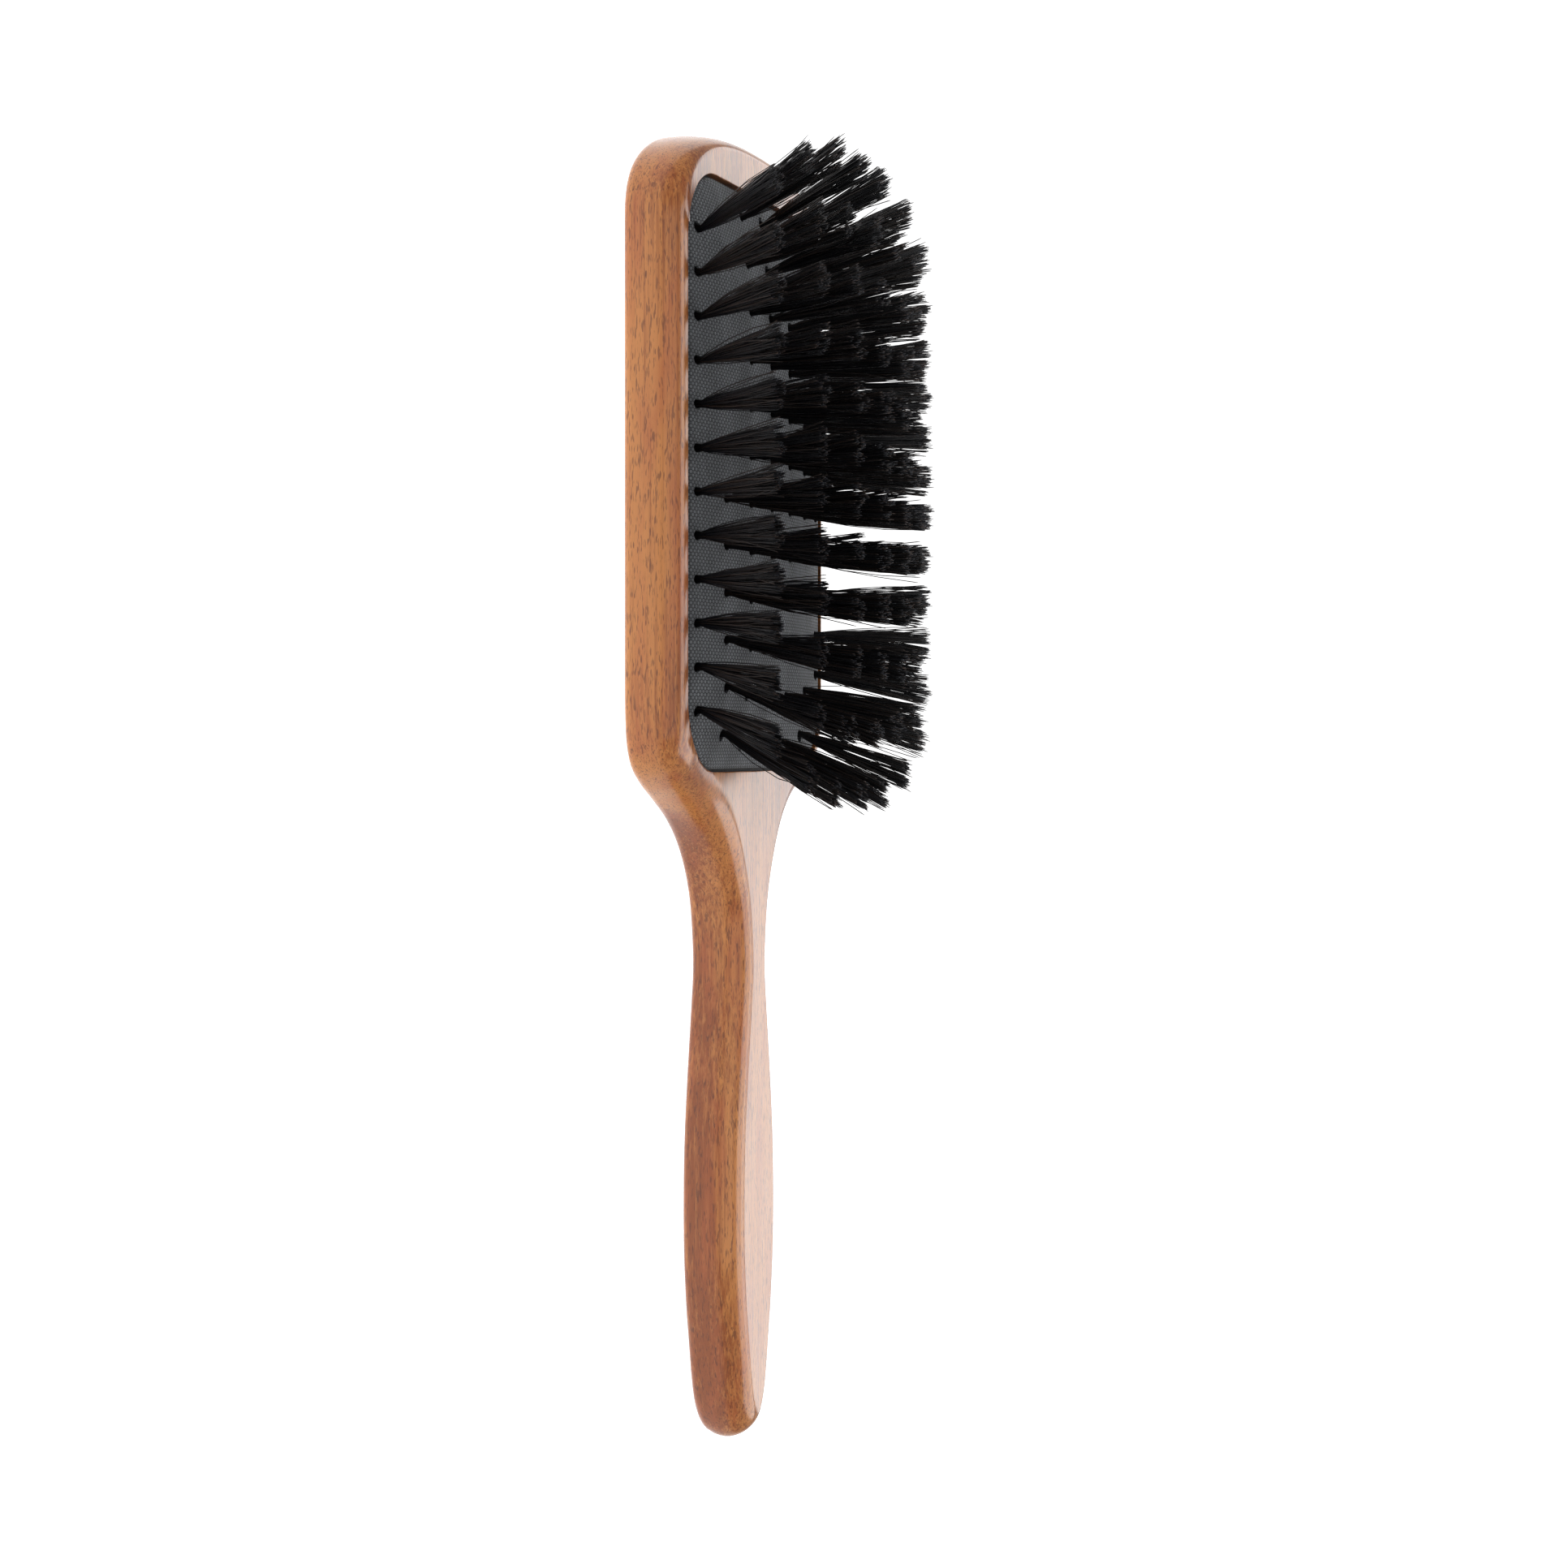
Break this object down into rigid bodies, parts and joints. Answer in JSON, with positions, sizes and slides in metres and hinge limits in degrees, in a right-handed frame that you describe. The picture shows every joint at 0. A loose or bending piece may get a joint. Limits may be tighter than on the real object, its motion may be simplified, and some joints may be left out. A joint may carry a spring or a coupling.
{
  "type": "paddle brush",
  "caption": "Wooden pneumatic paddle brush with a waisted handle, a fabric-faced domed rubber cushion and fanned rows of dark bristle tufts",
  "frame": {"origin": "centre of the paddle's flat back, under the middle of the cushion", "axes": "X across the paddle, +Y from the handle towards the head end, +Z out of the bristle face; the brush lies on its back at z = 0"},
  "size_m": [0.0911, 0.253, 0.0391],
  "materials": {
    "lacquered_beech": "clear gloss lacquer over steamed beech",
    "cushion_rubber": "matte moulded",
    "cushion_textile": "fine plain weave",
    "dark_bristle": "satin fibre",
    "steel_wire": "drawn wire"
  },
  "bodies": {
    "brush_body": {"wooden_body": "lacquered_beech", "rubber_cushion": "cushion_rubber", "cushion_fabric_face": "cushion_textile"},
    "tuft_field": {"tuft_row_01": "dark_bristle", "tuft_row_02": "dark_bristle", "tuft_row_03": "dark_bristle", "tuft_row_04": "dark_bristle", "tuft_row_05": "dark_bristle", "tuft_row_06": "dark_bristle", "tuft_row_07": "dark_bristle", "tuft_row_08": "dark_bristle", "tuft_row_09": "dark_bristle", "tuft_row_10": "dark_bristle", "tuft_row_11": "dark_bristle", "tuft_row_12": "dark_bristle", "draw_wire_01": "steel_wire", "draw_wire_02": "steel_wire", "draw_wire_03": "steel_wire", "draw_wire_04": "steel_wire", "draw_wire_05": "steel_wire", "draw_wire_06": "steel_wire", "draw_wire_07": "steel_wire", "draw_wire_08": "steel_wire", "draw_wire_09": "steel_wire", "draw_wire_10": "steel_wire", "draw_wire_11": "steel_wire", "draw_wire_12": "steel_wire"}
  },
  "joints": [
    {"name": "cushion_press", "type": "slide", "parent": "brush_body", "child": "tuft_field", "axis": [0, 0, -1], "range_m": [0, 0.003], "stiffness_N_per_m": 800, "deforming": ["rubber_cushion", "cushion_fabric_face"]}
  ]
}
